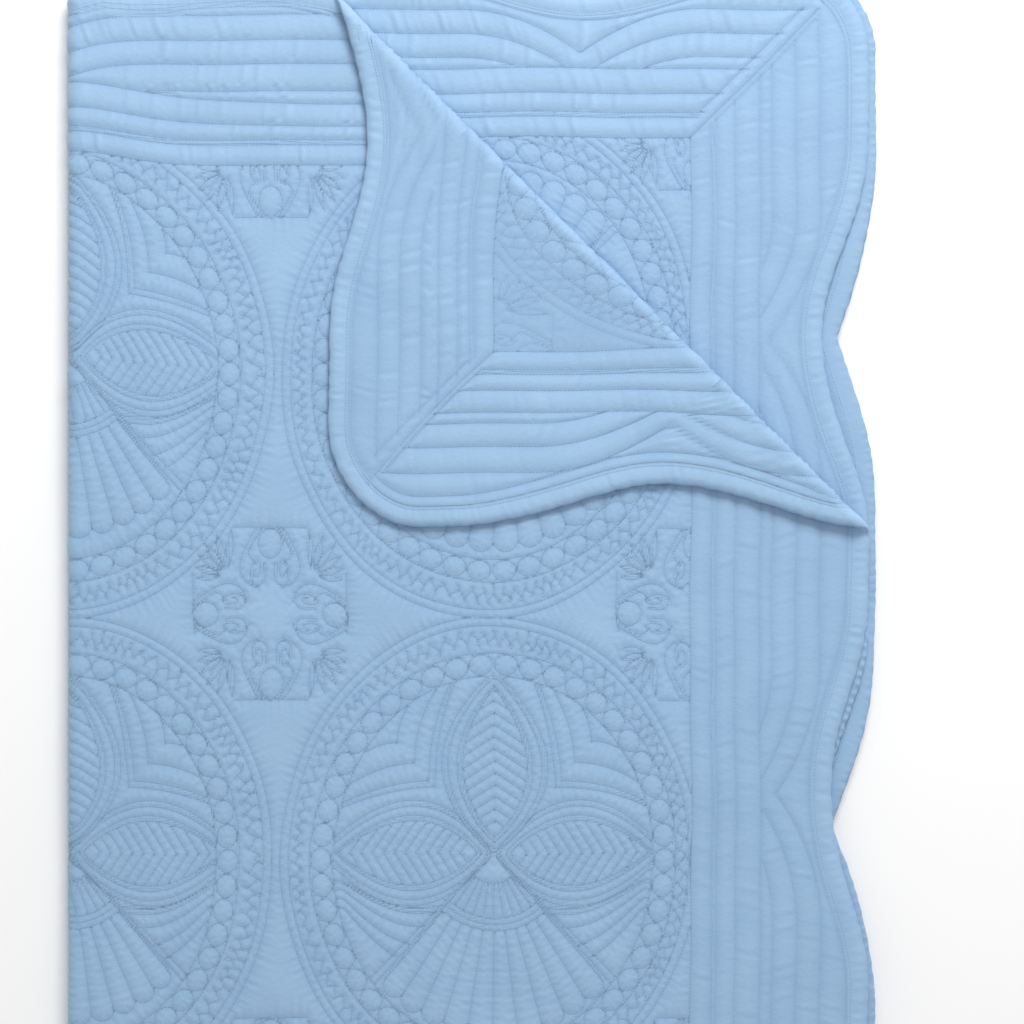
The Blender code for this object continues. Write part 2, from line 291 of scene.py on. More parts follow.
# %% Rings, pearls and the wandering line between them
RING_U, RING_V = 208.0, 244.0
PEARL_U, PEARL_V = 171.0, 197.0
PEARL_COUNT = 46
PEARL_ROOM = 13.0
RING_ROOM = 10.0


def wander(centre_u, centre_v, half_u, half_v, room_u, room_v):
    """A line that wanders to and fro across an oval band without crossing itself."""
    length = evenly(oval(centre_u, centre_v, half_u, half_v), 4)[3]
    forward = np.arange(0.0, length, 0.25)
    pace = 13.0 + 2.2 * np.sin(forward / 29.0 + 1.0) + 1.6 * np.sin(forward / 11.3)
    beat = 2 * np.pi * np.cumsum(0.25 / pace)
    swing = 0.80 + 0.20 * np.sin(forward / 17.0) * np.sin(forward / 7.1 + 2.0)
    across = swing * np.sin(beat) + 0.12 * np.sin(2.3 * beat + 1.0)
    curl = forward + 2.3 * np.sin(2 * beat) + 1.1 * np.sin(3.1 * beat)
    angle = curl / length * 2 * np.pi
    u = centre_u + (half_u + across * room_u) * np.cos(angle)
    v = centre_v + (half_v + across * room_v) * np.sin(angle)
    return np.column_stack([u, v])


def pearl_oval(cu):
    """Middle and half width of a medallion's pearls, narrower in the middle column."""
    if cu == 0.0:
        return cu, PEARL_U - 7.0
    return cu + 4.0, PEARL_U


def sew_rings(cu, cv):
    """The double outer ring, the pearls and the thin lines on both sides of them."""
    for inset in (0.0, 8.5):
        sew(oval(cu, cv, RING_U - inset, RING_V - inset), in_panel)
    middle_u, half_u = pearl_oval(cu)
    for away in (-11.5, 11.5):
        sew(oval(middle_u, cv, half_u + away, PEARL_V + away), in_panel)
    pearl_u, pearl_v, heading, _ = evenly(oval(middle_u, cv, half_u, PEARL_V), PEARL_COUNT)
    for u, v, turn in zip(pearl_u, pearl_v, heading):
        loop = oval(0.0, 0.0, 11.6, 9.8)
        across = loop[:, 0] * math.cos(turn) - loop[:, 1] * math.sin(turn)
        upward = loop[:, 0] * math.sin(turn) + loop[:, 1] * math.cos(turn)
        sew(np.column_stack([u + across, v + upward]), in_panel)
    inner_u = half_u + PEARL_ROOM
    outer_u = RING_U - RING_ROOM
    inner_v = PEARL_V + PEARL_ROOM
    outer_v = RING_V - RING_ROOM
    band = ((inner_u + outer_u) / 2 + 1, (inner_v + outer_v) / 2)
    room = ((outer_u - inner_u) / 2 - 1, (outer_v - inner_v) / 2 - 2)
    sew(wander(cu + 1, cv, *band, *room), in_panel)


print("the rim has", PEARL_COUNT, "pearls")

# %% [markdown]
# Three leaves stand in a medallion, filled with chevrons. On the real quilt the outline is sewn
# again and again outwards, which quilters call echoing. Offsetting a drawn curve would need
# care where it is tight, so a leaf is one sine curve, and its echoes are the same curve, wider.

# %% Leaves with chevrons, echoed outwards
def inside_pearls(cu, cv):
    """Test for the oval field inside the pearls of a medallion."""
    middle_u, half_u = pearl_oval(cu)

    def keep(u, v):
        across = (u - middle_u) / (half_u - PEARL_ROOM)
        upward = (v - cv) / (PEARL_V - PEARL_ROOM)
        return (across ** 2 + upward ** 2 < 1.0) & in_panel(u, v)
    return keep


UPWARD = math.pi / 2
LEAF_START = 17.0
LEAF_HALF = 32.5
CHEVRON_SLOPE = 0.65
CORNER_ECHOES = ((60.0, 66.0), (66.0, 72.0), (80.0, 90.0), (97.0, 111.0))
HOLLOW_DEPTHS = (56.0, 61.0, 74.0, 92.0, 110.0)


def leaf_point(cu, cv, heading, along, across):
    """Points of a leaf or bud, from how far along and across it they lie."""
    u = cu + along * math.cos(heading) - across * math.sin(heading)
    v = cv + along * math.sin(heading) + across * math.cos(heading)
    return np.column_stack([u, v])


def leaf_width(share):
    """Half width of a leaf as a share of its widest, fullest a little past its middle."""
    return np.sin(np.pi * share ** 0.92) ** 0.85


def sew_leaf(cu, cv, heading, length, keep):
    """A pointed leaf with chevrons, and its outline echoed outwards."""
    share = np.linspace(0.0, 1.0, 60)
    for half, early, late in ((LEAF_HALF, LEAF_START, length), (38.0, 12.0, length + 4),
                              (47.0, 6.0, length + 12), (53.0, 2.0, length + 18)):
        along = early + (late - early) * share
        across = half * leaf_width(share)
        for hand in (-1.0, 1.0):
            sew(leaf_point(cu, cv, heading, along, hand * across), keep)
    pitch = 12.0 if heading == UPWARD else 11.0
    for apex in np.arange(LEAF_START + 16.0, length + 14.0, pitch):
        across = np.linspace(0.0, 32.0, 20)
        along = apex - CHEVRON_SLOPE * across
        place = np.clip((along - LEAF_START) / (length - LEAF_START), 0.0, 1.0)
        room = LEAF_HALF * leaf_width(place) - 1.5
        fits = (across < room) & (along < length - 2)
        if fits.sum() > 2:
            for hand in (-1.0, 1.0):
                sew(leaf_point(cu, cv, heading, along[fits], hand * across[fits]), keep)


print("a leaf is", round(2 * LEAF_HALF * STEP * 1000), "mm wide")


# %% Echo lines that fill the field round the leaves
def sew_corners(cu, cv, keep):
    """Echo lines that fill the two upper quarters, each bent once like an L."""
    for corner_u, corner_v in CORNER_ECHOES:
        rise = np.linspace(0.0, 1.0, 30)
        up_u = corner_u * (1 - 0.42 * rise ** 2)
        up_v = corner_v + (182.0 - corner_v) * rise
        out_u = corner_u + (166.0 - corner_u) * rise
        out_v = corner_v * (1 - 0.42 * rise ** 2)
        for hand in (-1.0, 1.0):
            sew(np.column_stack([cu + hand * up_u, cv + up_v]), keep)
            sew(np.column_stack([cu + hand * out_u, cv + out_v]), keep)


def sew_hollows(cu, cv, keep):
    """Echo lines under the side leaves, from the fan's stems outwards."""
    for depth in HOLLOW_DEPTHS:
        out = np.linspace(20.0, 172.0, 50)
        dip = -depth * (0.50 + 0.50 * np.sin(np.pi * np.clip(out / 150.0, 0.0, 1.0)))
        outside = out > -dip * math.tan(math.radians(43.0))
        for hand in (-1.0, 1.0):
            sew(np.column_stack([cu + hand * out[outside], cv + dip[outside]]), keep)


print(2 * len(CORNER_ECHOES), "echoes over the side leaves,", len(HOLLOW_DEPTHS), "under each")

# %% [markdown]
# The fan opens downwards from the same knot. It has stems, short ribs, arcs, and ten petals
# like fingers with round ends. All of it is drawn by angle and radius, as a compass would.

# %% The fan
FAN_HALF = math.radians(42.0)
PETAL_COUNT = 10
PETAL_PITCH = math.radians(8.1)
ARC_RADII = (29.0, 65.0, 71.0, 77.0)


def fan_point(cu, cv, angle, radius):
    """A point of the fan, by its angle from straight down."""
    return np.column_stack([cu + radius * np.sin(angle), cv - radius * np.cos(angle)])


def sew_fan(cu, cv, keep, petal_end):
    """Stems, ribs, a double arc and ten finger petals with round ends."""
    for hand in (-1.0, 1.0):
        for extra in (0.0, 2.4):
            angle = np.full(2, hand * (FAN_HALF + math.radians(extra)))
            sew(fan_point(cu, cv, angle, np.array([4.0 + extra * 4, 190.0])), keep)
    for angle in np.radians(np.arange(-36.0, 37.0, 9.0)):
        sew(fan_point(cu, cv, np.full(2, angle), np.array([30.0, 64.0])), keep)
    sweep = np.linspace(-FAN_HALF, FAN_HALF, 40)
    for radius in ARC_RADII:
        sew(fan_point(cu, cv, sweep, np.full(40, radius)), keep)
    for index in range(PETAL_COUNT + 1):
        angle = PETAL_PITCH * (index - PETAL_COUNT / 2)
        end = petal_end + 10.0 * math.cos(angle * 2.2)
        sew(fan_point(cu, cv, np.full(2, angle), np.array([78.0, end])), keep)
    for index in range(PETAL_COUNT):
        middle = PETAL_PITCH * (index + 0.5 - PETAL_COUNT / 2)
        end = petal_end + 10.0 * math.cos(middle * 2.2)
        turn = np.linspace(-math.pi / 2, math.pi / 2, 16)
        half = end * PETAL_PITCH / 2
        radius = end + half * np.cos(turn)
        sew(fan_point(cu, cv, middle + PETAL_PITCH / 2 * np.sin(turn), radius), keep)


print("the fan has", PETAL_COUNT, "petals")

# %% [markdown]
# Where four medallions meet, a flower fills the gap: four buds in bells round an open middle,
# and a spray of slender leaves in each corner. Its lines are bent more freely than an oval. So a
# few points are listed, and their corners are cut until the line is smooth.

# %% The flower between four medallions
def rounded(points, rounds=3):
    """Cut the corners of a rough line again and again until it is smooth."""
    points = np.asarray(points, float)
    for _ in range(rounds):
        near = 0.75 * points[:-1] + 0.25 * points[1:]
        far = 0.25 * points[:-1] + 0.75 * points[1:]
        middle = np.stack([near, far], axis=1).reshape(-1, 2)
        points = np.concatenate([points[:1], middle, points[-1:]])
    return points


BELL = ((25.0, 12.0), (30.0, 24.0), (42.0, 31.0), (56.0, 29.0), (72.0, 21.0), (86.0, 14.0), (87.0, 0.0))
PETAL = ((50.0, 14.0), (58.0, 23.0), (70.0, 17.0), (84.0, 9.0))
CURL = ((50.0, 5.0), (33.0, 4.0), (27.0, 11.0), (31.0, 19.0), (44.0, 20.0), (55.0, 14.0),
        (50.0, 9.0), (38.0, 10.0), (35.0, 14.0), (42.0, 16.0))


def sew_bud(cu, cv, heading, long_half, wide_half, squash):
    """A bud that points away from the flower's open middle, in a bell with two curls."""
    turn = np.linspace(0.0, 2 * np.pi, 40)
    middle = 85.0 * squash - long_half
    sew(leaf_point(cu, cv, heading, middle + long_half * np.cos(turn), wide_half * np.sin(turn)), in_panel)
    for rough in (BELL, PETAL, CURL):
        line = rounded(rough)
        for hand in (-1.0, 1.0):
            sew(leaf_point(cu, cv, heading, squash * line[:, 0], hand * line[:, 1]), in_panel)


def sew_spray(cu, cv, side, hand):
    """Slender leaves that open like a hand into one corner of the flower."""
    for spray in range(6):
        angle = math.radians(-4.0 + spray * 19.6)
        reach = 30.0 + 3.0 * spray
        out = np.linspace(9.0, reach, 16)
        bow = 2.9 * np.sin(np.pi * (out - 9.0) / (reach - 9.0)) ** 0.8
        for leaf_side in (-1.0, 1.0):
            u = 42.0 + out * math.cos(angle) - leaf_side * bow * math.sin(angle)
            v = 38.0 + out * math.sin(angle) + leaf_side * bow * math.cos(angle)
            sew(np.column_stack([cu + side * u, cv + hand * v]), in_panel)


def sew_flower(cu, cv):
    """Four buds round an open middle, a spray in each corner, and a broken thin frame."""
    sew_bud(cu, cv, UPWARD, 15.0, 11.5, 1.0)
    sew_bud(cu, cv, -UPWARD, 15.0, 11.5, 1.0)
    sew_bud(cu, cv, 0.0, 12.0, 12.0, 0.9)
    sew_bud(cu, cv, math.pi, 12.0, 12.0, 0.9)
    for side in (-1.0, 1.0):
        sew(np.array([(cu + side * 77.0, cv - 18.0), (cu + side * 77.0, cv + 40.0)]), in_panel)
        sew(np.array([(cu - 36.0, cv + side * 86.5), (cu + 36.0, cv + side * 86.5)]), in_panel)
        for hand in (-1.0, 1.0):
            sew_spray(cu, cv, side, hand)


print("a bell, a petal and a curl have", len(BELL), len(PETAL), "and", len(CURL), "points")


# %% Sew the whole panel
def sew_medallion(column, row):
    """One whole medallion."""
    cu = column * COLUMN_PITCH
    cv = row * ROW_PITCH
    keep = inside_pearls(cu, cv)
    sew_rings(cu, cv)
    knot_u = cu + (5 if column else 3)
    knot_v = cv + 8
    sew_leaf(knot_u, knot_v, UPWARD, 164.0, keep)
    sew_leaf(knot_u, knot_v, 0.0, 154.0, keep)
    sew_leaf(knot_u, knot_v, math.pi, 154.0, keep)
    sew_corners(knot_u, knot_v, keep)
    sew_hollows(knot_u, knot_v, keep)
    sew_fan(knot_u, knot_v, keep, 164.0 if column else 152.0)


for column, row in ((0, 0.5), (1, 0.5), (0, 1.5), (1, 1.5), (1, -1.5)):
    sew_medallion(column, row)
for flower_u in (-212.0, 205.5, 630.0):
    for flower_v in (0.0, 490.0, 974.0, -974.0, -487.0):
        sew_flower(flower_u, flower_v)
print(len(sewn), "lines on the centre panel")


# %% [markdown]
# The borders have straight channels next to the frame line, and beyond them lines that echo
# each scallop and meet in a V under the dip between two scallops. Two rows of topstitch run
# along the edge, and the borders meet at the corners in a mitre with a line on each side.

# %% Lines of the borders
CHANNELS = (0.0, 20.0, 25.0, 44.0, 69.0)
ECHOES = (49.0, 73.0, 97.0)
NEAR_ECHOES = (28.0, 53.0, 77.0, 104.0)
NEAR_END = 320.0
TOPSTITCH = (17.5, 23.0)
MITRE_GAP = {"top": 12.0, "right": 5.5, "bottom": 12.0, "left": 5.5}
MITRE_LINES = ((0.0, 0.0, CORNER_REACH - 22.0), (-8.5, 20.0, 122.0), (4.0, 20.0, 122.0))


def echo_offset(side, s, inward):
    """A line that echoes the scallops and comes to a point under each dip."""
    run, away, nearest = near_valley(side, s)
    bulge = 1 - (1 - np.clip(away / 125.0, 0.0, 1.0)) ** 2
    dip = np.array(SIDES[side]["lows"])[nearest]
    drop = 0.9 * (CREST - dip) + 11.0
    return CREST - inward - drop * (1 - bulge)


def echoes_of(side, s):
    """Which echo lines a side has: the scallop beside the lengthways fold has one more."""
    if side == "top":
        return [(inward, np.abs(s) < NEAR_END) for inward in NEAR_ECHOES] + [
            (inward, np.abs(s) > NEAR_END + 30.0) for inward in ECHOES]
    return [(inward, np.abs(s) < 1e6) for inward in ECHOES]


def sew_border(side):
    """All the lines of one border, each ending short of the mitres."""
    half = SIDES[side]["half"]
    end = half + CORNER_REACH
    s = np.arange(-end, end, 2.0)
    drawn_in = ease((s - 60.0) / 200.0) if side == "top" else 0.0 * s
    for offset in CHANNELS:
        line = offset * (1 - 0.12 * drawn_in * (offset > 30.0))
        fits = np.abs(s) < half + (offset - MITRE_GAP[side] if offset > 0 else -1.0)
        sew(np.column_stack(to_flat(side, s[fits], line[fits])))
    for inward, present in echoes_of(side, s):
        line = echo_offset(side, s, inward)
        fits = present & (line > 70.0) & (np.abs(s) < half + line - MITRE_GAP[side])
        kept = np.flatnonzero(fits)
        breaks = np.flatnonzero(np.diff(kept) > 1) + 1
        for stretch in np.split(kept, breaks):
            if stretch.size > 3:
                sew(np.column_stack(to_flat(side, s[stretch], line[stretch])))
    steeper = 0.0 * s
    apart = 0.0 * s
    if side == "top":
        steeper = 11.0 * ease(s / 45.0) * (1 - ease((s - 60.0) / 220.0))
    if side == "right":
        apart = ease((s - 600.0) / 60.0)
    for inward, spread in zip(TOPSTITCH, (-0.5, 5.5)):
        along, offset = edge_point(side, s, inward - steeper + spread * apart)
        sew(np.column_stack(to_flat(side, along, offset)))


print("borders have", len(CHANNELS), "straight lines and", len(ECHOES), "echoes")


# %% From the flat quilt back to a border
def from_flat(side, u, v):
    """Turn u and v back into a place along a side."""
    if side == "top":
        return u, v - FRAME_V
    if side == "right":
        return v, u - FRAME_U
    if side == "bottom":
        return u, -v - FRAME_V
    return v, -u - FRAME_U


print("the top edge's middle lies at", from_flat("top", 0.0, FRAME_V + CREST), "of its border")

# %% Sew the borders
for side in SIDES:
    sew_border(side)
for hand_u in (-1.0, 1.0):
    for hand_v in (-1.0, 1.0):
        for aside, early, late in MITRE_LINES:
            start = (hand_u * (FRAME_U + early + aside), hand_v * (FRAME_V + early - aside))
            finish = (hand_u * (FRAME_U + late + aside), hand_v * (FRAME_V + late - aside))
            sew(np.array([start, finish]))
print(len(sewn), "lines in all,", sum(len(line) for line in sewn), "points")

# %% [markdown]
# Each point of the cloth needs to know its nearest line of stitches. A search tree gives it
# quickly. Three numbers are kept: how far the line is, on which side of it the point lies,
# and how far along the line it is, which later spaces the single stitches in the material.

# %% Ask for the nearest line of stitches
stitch_points = np.concatenate(sewn)
stitch_tree = KDTree(len(stitch_points))
for index, (u, v) in enumerate(stitch_points[:, :2]):
    stitch_tree.insert((u, v, 0.0), index)
stitch_tree.balance()


def nearest_stitch(u, v):
    """Distance, signed distance and running length of the nearest stitches, in steps."""
    shape = u.shape
    flat_u = u.ravel()
    flat_v = v.ravel()
    found = np.empty(flat_u.size, int)
    find = stitch_tree.find
    for index, place in enumerate(zip(flat_u.tolist(), flat_v.tolist())):
        found[index] = find((place[0], place[1], 0.0))[1]
    near = stitch_points[found]
    away_u = flat_u - near[:, 0]
    away_v = flat_v - near[:, 1]
    cosine = np.cos(near[:, 2])
    sine = np.sin(near[:, 2])
    aside = cosine * away_v - sine * away_u
    onward = cosine * away_u + sine * away_v
    gap = np.hypot(away_u, away_v)
    return gap.reshape(shape), aside.reshape(shape), (near[:, 3] + onward).reshape(shape)


print("the search tree holds", len(stitch_points), "stitch points")

# %% [markdown]
# Across the long channels the cloth gathers in short creases, where the thread was pulled a
# little tighter. Evenly spaced waves look like a rope. So every channel has its own list of
# creases at uneven places, most of them faint, and a point reads the list at its own place.

# %% Creases across the border channels
def crease_table(seed):
    """Short creases at uneven places along a channel, most of them faint."""
    maker = np.random.default_rng(seed)
    table = np.zeros(CREASE_PLACES.size)
    place = CREASE_PLACES[0]
    while place < CREASE_PLACES[-1]:
        place += maker.uniform(5.0, 30.0)
        strength = maker.uniform(0.3, 1.0) ** 2.5
        width = maker.uniform(1.8, 3.4)
        valley = np.exp(-((CREASE_PLACES - place) / width) ** 2)
        ridge = np.exp(-((CREASE_PLACES - place - 2.1 * width) / width) ** 2)
        table += strength * (0.8 * ridge - valley)
    return table


CREASE_PLACES = np.arange(-1150.0, 1151.0, 1.0)
CREASES = [crease_table(seed) for seed in range(40)]


def border_creases(u, v):
    """Creases that run across a border's channels, different in each channel."""
    total = np.zeros(u.shape)
    reach_u = np.abs(u) - FRAME_U
    reach_v = np.abs(v) - FRAME_V
    for number, side in enumerate(SIDES):
        along, out = from_flat(side, u, v)
        mine = (out > 0) & (out >= np.where(side in ("top", "bottom"), reach_u, reach_v) - 0.01)
        channel = np.zeros(u.shape, int)
        for offset in CHANNELS[1:]:
            channel = channel + (out > offset)
        for inward in ECHOES:
            channel = channel + (out > np.maximum(echo_offset(side, along, inward), 70.0))
        strength = 1.0 if side in ("top", "bottom") else 0.55
        for index in range(channel.max() + 1):
            here = mine & (channel == index)
            lean = 0.3 * math.sin(2.0 * index + number)
            table = CREASES[number * 9 + index]
            total[here] = strength * np.interp(along[here] + lean * out[here], CREASE_PLACES, table)
    return total


print(len(CREASES), "channels with creases of their own")

# %% [markdown]
# The puff. Between two lines the filling lifts the cloth, quickly at first and then hardly
# more, which an exponential curve gives. Short puckers cross each line where the thread
# gathers the cloth. Where the cloth is out of sight inside the pile it stays smooth, so the
# layers lie close together.

# %% Height of the puffed cloth
LOFT = 0.0011
LOFT_REACH = 5.0
PANEL_SHARE = 0.75
PUCKER = 0.00020
BORDER_PUCKER = 0.00058
HALF_THICK = THICK / 2


def side_share(u, v, share):
    """One on most of the quilt, less on borders that lie upright in the folded quilt."""
    over_u = np.abs(u) - FRAME_U
    over_v = np.abs(v) - FRAME_V
    on_side = (over_u > 0) & (over_u > over_v)
    on_end = (over_v > 0) & (over_v > over_u)
    turned = u + v > CREASE_SUM / STEP + 8.0
    return np.where(np.where(turned, on_end, on_side), share, 1.0)


def puff(gap, run, u, v):
    """Height of the cloth over the stitches, in metres."""
    loft = LOFT * (1 - np.exp(-gap / LOFT_REACH))
    fade = (1 - np.exp(-gap / 3.0)) * np.exp(-gap / 9.0)
    on_border = (np.abs(u) > FRAME_U) | (np.abs(v) > FRAME_V)
    fine = np.sin(run * 0.86 + 1.7 * np.sin(run / 11.0))
    fine = fine + 0.7 * np.sin(run * 0.49 + 1.3 * np.sin(run / 17.0))
    panel = PUCKER * fine * fade * 1.2
    border = BORDER_PUCKER * border_creases(u, v) * (1 - np.exp(-gap / 2.5)) + 0.25 * panel
    height = np.where(on_border, loft + border, PANEL_SHARE * loft + panel)
    return height * side_share(u, v, 0.7)


print("the filling lifts the cloth by up to", LOFT * 1000, "mm")


# %% Where the relief stands up
def front_shows(u, v):
    """Where the front's relief may stand up: everywhere on the top layer, round to its folds."""
    return ease((u + 6.0) / 8.0) * ease((v - 9.0) / 8.0)


def back_shows(u, v):
    """Where the back's relief may stand up: on the turned corner, and in the gap it leaves."""
    crease = CREASE_SUM / STEP
    flap = ease((u + v - crease - 2.0) / ROOT2 / 12.0)
    folded_v = 2 * FOLD_V / STEP - v - math.pi * CROSS_RADIUS / STEP
    gap_side = ease((u + folded_v - crease - 4.0) / ROOT2 / 9.0)
    return np.where(v > 14.0, flap, gap_side) * ease((u + 6.0) / 8.0)


print("relief shows on the front at 100, 100 steps:", front_shows(100.0, 100.0))

# %% [markdown]
# No line of a hand-made quilt is quite straight. Two slow waves shift every place a little, and
# a few wider shifts follow this quilt: its top edge rises beside the lengthways fold, and the
# frame of the turned corner is pulled outwards. Front and back share the shifts, so the two
# stay together.

# %% Small drifts, and the folded place of each point
def hand_made(u, v):
    """Small drifts that hand quilting has, and the top edge's rise beside the fold."""
    drift_u = 0.9 * np.sin(v / 61.0 + u / 190.0) + 0.6 * np.sin(v / 23.0 + 1.0)
    drift_v = 0.9 * np.sin(u / 57.0 + v / 170.0 + 2.0) + 0.6 * np.sin(u / 27.0)
    rise = 13.0 * np.exp(-(u / 70.0) ** 2) * ease((v - 480.0) / 400.0)
    near_frame = np.exp(-((v - 945.0) / 80.0) ** 2) * ease((u - 380.0) / 120.0)
    on_flap = ease((u + v - CREASE_SUM / STEP) / 120.0)
    out = u - FRAME_U
    near_side = 5.0 * np.exp(-(out / 35.0) ** 2) - 6.0 * np.exp(-((out - 100.0) / 48.0) ** 2)
    return u + drift_u + near_side * on_flap, v + drift_v + rise + (9.0 + 6.0 * on_flap) * near_frame


def cloth_points(u, v, face):
    """Folded points of the front (face 1) or the back (face -1), with what its material reads."""
    gap, aside, run = nearest_stitch(u, v)
    shows = front_shows(u, v) if face > 0 else back_shows(u, v)
    height = puff(gap, run, u, v) * shows
    if face < 0:
        on_flap = ease((u + v - CREASE_SUM / STEP - 20.0) / 60.0)
        height = height * np.where((u < FRAME_U) & (v < FRAME_V), 1 - 0.5 * on_flap, 1.0)
    place_u, place_v = hand_made(u, v)
    w = face * (HALF_THICK + height)
    x, y, z = fold(place_u * STEP, place_v * STEP, w)
    # How strongly the material paints shade into the stitch lines and dents them: half on borders that lie
    # upright, and weaker on the turned corner's panel.
    line_shade_and_dent_share = side_share(u, v, 0.5)
    if face < 0:
        line_shade_and_dent_share = line_shade_and_dent_share * np.where((u < FRAME_U) & (v < FRAME_V), 1 - 0.5 * on_flap, 1.0)
    facts = {"gap": gap, "aside": aside, "run": run, "loft": height / LOFT, "line_shade_and_dent_share": line_shade_and_dent_share}
    return np.stack([x, y, z], axis=-1), facts


print("at 300, 900 steps the quilt drifts to", hand_made(300.0, 900.0))

# %% [markdown]
# A sheet of the cloth. Blender's grid operator makes the points and faces, and then every
# point is moved to its place on the folded quilt. The grid is close where the quilting is seen
# and wide where it is hidden. The cloth is cut into a few pieces to keep each one light, so
# the normals come from a grid that is one row larger all round: then no seam shows.


def measure_flat(flat_u, flat_v, gone=None):
    """Work out the areas of a piece's cells on the flat quilt, in square steps, without the covered ones;
    they are not kept.
    """
    first_u = flat_u[1:, 1:] - flat_u[:-1, :-1]
    first_v = flat_v[1:, 1:] - flat_v[:-1, :-1]
    second_u = flat_u[:-1, 1:] - flat_u[1:, :-1]
    second_v = flat_v[:-1, 1:] - flat_v[1:, :-1]
    area = np.abs(first_u * second_v - first_v * second_u) / 2
    if gone is not None:
        lost = gone[1:, 1:] & gone[:-1, :-1] & gone[:-1, 1:] & gone[1:, :-1]
        area = np.where(lost, 0.0, area)


def longer(lines):
    """Add one more place at both ends of a list of places."""
    return np.concatenate([[2 * lines[0] - lines[1]], lines, [2 * lines[-1] - lines[-2]]])


def outward_normals(points, face):
    """Normals from the neighbours on both sides of each point."""
    along = points[2:, 1:-1] - points[:-2, 1:-1]
    across = points[1:-1, 2:] - points[1:-1, :-2]
    normal = np.cross(along, across) * face
    return normal / np.maximum(np.linalg.norm(normal, axis=-1, keepdims=True), 1e-12)


print("one more place at both ends of 0, 1, 2:", longer(np.array([0.0, 1.0, 2.0])))


# %% A mesh of grid points that keep their numbers
def flat_grid(name, columns, rows):
    """A flat mesh of columns by rows points, and each point's column and row."""
    bm = bmesh.new()
    bmesh.ops.create_grid(bm, x_segments=columns - 1, y_segments=rows - 1, size=1.0)
    mesh = bpy.data.meshes.new(name)
    bm.to_mesh(mesh)
    bm.free()
    places = np.empty(columns * rows * 3)
    mesh.vertices.foreach_get("co", places)
    places = places.reshape(-1, 3)
    column = np.rint((places[:, 0] + 1) / 2 * (columns - 1)).astype(int)
    row = np.rint((places[:, 1] + 1) / 2 * (rows - 1)).astype(int)
    return mesh, column, row


def store_facts(mesh, facts, flat, column, row):
    """Keep the material's numbers on the points, and the flat layout as a UV map."""
    for key, values in facts.items():
        layer = mesh.attributes.new(key, "FLOAT", "POINT")
        layer.data.foreach_set("value", values[column, row].ravel())
    corner = np.empty(len(mesh.loops), int)
    mesh.loops.foreach_get("vertex_index", corner)
    layout = mesh.uv_layers.new(name="flat")
    layout.data.foreach_set("uv", flat[corner].ravel())


def turn_and_cut(mesh, normal, face, gone):
    """Turn a back's faces over, and take out the faces that another piece covers."""
    bm = bmesh.new()
    bm.from_mesh(mesh)
    if face < 0:
        bmesh.ops.reverse_faces(bm, faces=bm.faces[:])
    if gone is not None:
        bm.verts.index_update()
        covered = [item for item in bm.faces if all(gone[vert.index] for vert in item.verts)]
        marks = bm.verts.layers.int.new("mark")
        for vert in bm.verts:
            vert[marks] = vert.index
        bmesh.ops.delete(bm, geom=covered, context="FACES")
        normal = normal[np.array([vert[marks] for vert in bm.verts])]
        bm.verts.layers.int.remove(marks)
    bm.to_mesh(mesh)
    bm.free()
    return normal


print("a sheet is a grid whose points are moved, so its faces keep their order")


# %% Turn arrays of places into a mesh object
def sheet_object(name, points, normals, facts, flat_u, flat_v, face, leave_out=None):
    """Move a grid's points to their folded places and link it as an object."""
    mesh, column, row = flat_grid(name, *points.shape[:2])
    mesh.vertices.foreach_set("co", points[column, row].ravel())
    flat = np.column_stack([flat_u[column, row], flat_v[column, row]])
    store_facts(mesh, facts, flat * STEP, column, row)
    gone = None if leave_out is None else leave_out(flat_u, flat_v)
    measure_flat(flat_u, flat_v, gone)
    normal = normals[column, row]
    if face < 0 or gone is not None:
        normal = turn_and_cut(mesh, normal, face, None if gone is None else gone[column, row])
    mesh.shade_smooth()
    mesh.normals_split_custom_set_from_vertices(normal)
    item = bpy.data.objects.new(name, mesh)
    bpy.context.collection.objects.link(item)
    mesh.calc_loop_triangles()
    print(name, len(mesh.loop_triangles), "triangles")
    return item


def cloth_sheet(name, u, v, face, sense, leave_out=None):
    """Puff, fold and build a piece from a grid that is one place larger all round."""
    points, facts = cloth_points(u, v, face)
    normals = outward_normals(points, sense)
    inner = (slice(1, -1), slice(1, -1))
    facts = {key: values[inner] for key, values in facts.items()}
    return sheet_object(name, points[inner], normals, facts, u[inner], v[inner], sense, leave_out)


print("a sheet's own grid is smaller by one place all round than the one it is given")


# %% Pieces of the panel and of the borders
def field_sheet(name, u_lines, v_lines, face, leave_out=None):
    """A piece of the centre panel."""
    u, v = np.meshgrid(longer(u_lines), longer(v_lines), indexing="ij")
    return cloth_sheet(name, u, v, face, face, leave_out)


TURN_OF = {"top": 1, "right": -1, "bottom": -1, "left": 1}


def border_sheet(name, side, s_lines, row_count, face):
    """A border strip from the frame line to the edge band, mitred at its ends."""
    half = SIDES[side]["half"]
    reach = half + CORNER_REACH
    inside_s = longer(s_lines)
    outside_s, outside_t = edge_point(side, inside_s * reach / half, BAND)
    share = longer(np.linspace(0.0, 1.0, row_count))
    along = inside_s[:, None] + (outside_s - inside_s)[:, None] * share[None, :]
    offset = outside_t[:, None] * share[None, :]
    u, v = to_flat(side, along, offset)
    u = np.broadcast_to(u, along.shape)
    v = np.broadcast_to(v, along.shape)
    return cloth_sheet(name, u, v, face, TURN_OF[side] * face)


print("a border's grid turns", TURN_OF, "against its cloth")

# %% [markdown]
# The pieces of the panel. A grid that is equally close everywhere would have many millions of
# faces. So its lines are 2 steps apart only where the quilting is seen, and about 10 steps
# apart inside the pile. The front is in four pieces, and the back is in one.

# %% Choose where the grid is close and where it is wide
FINE = 2.0


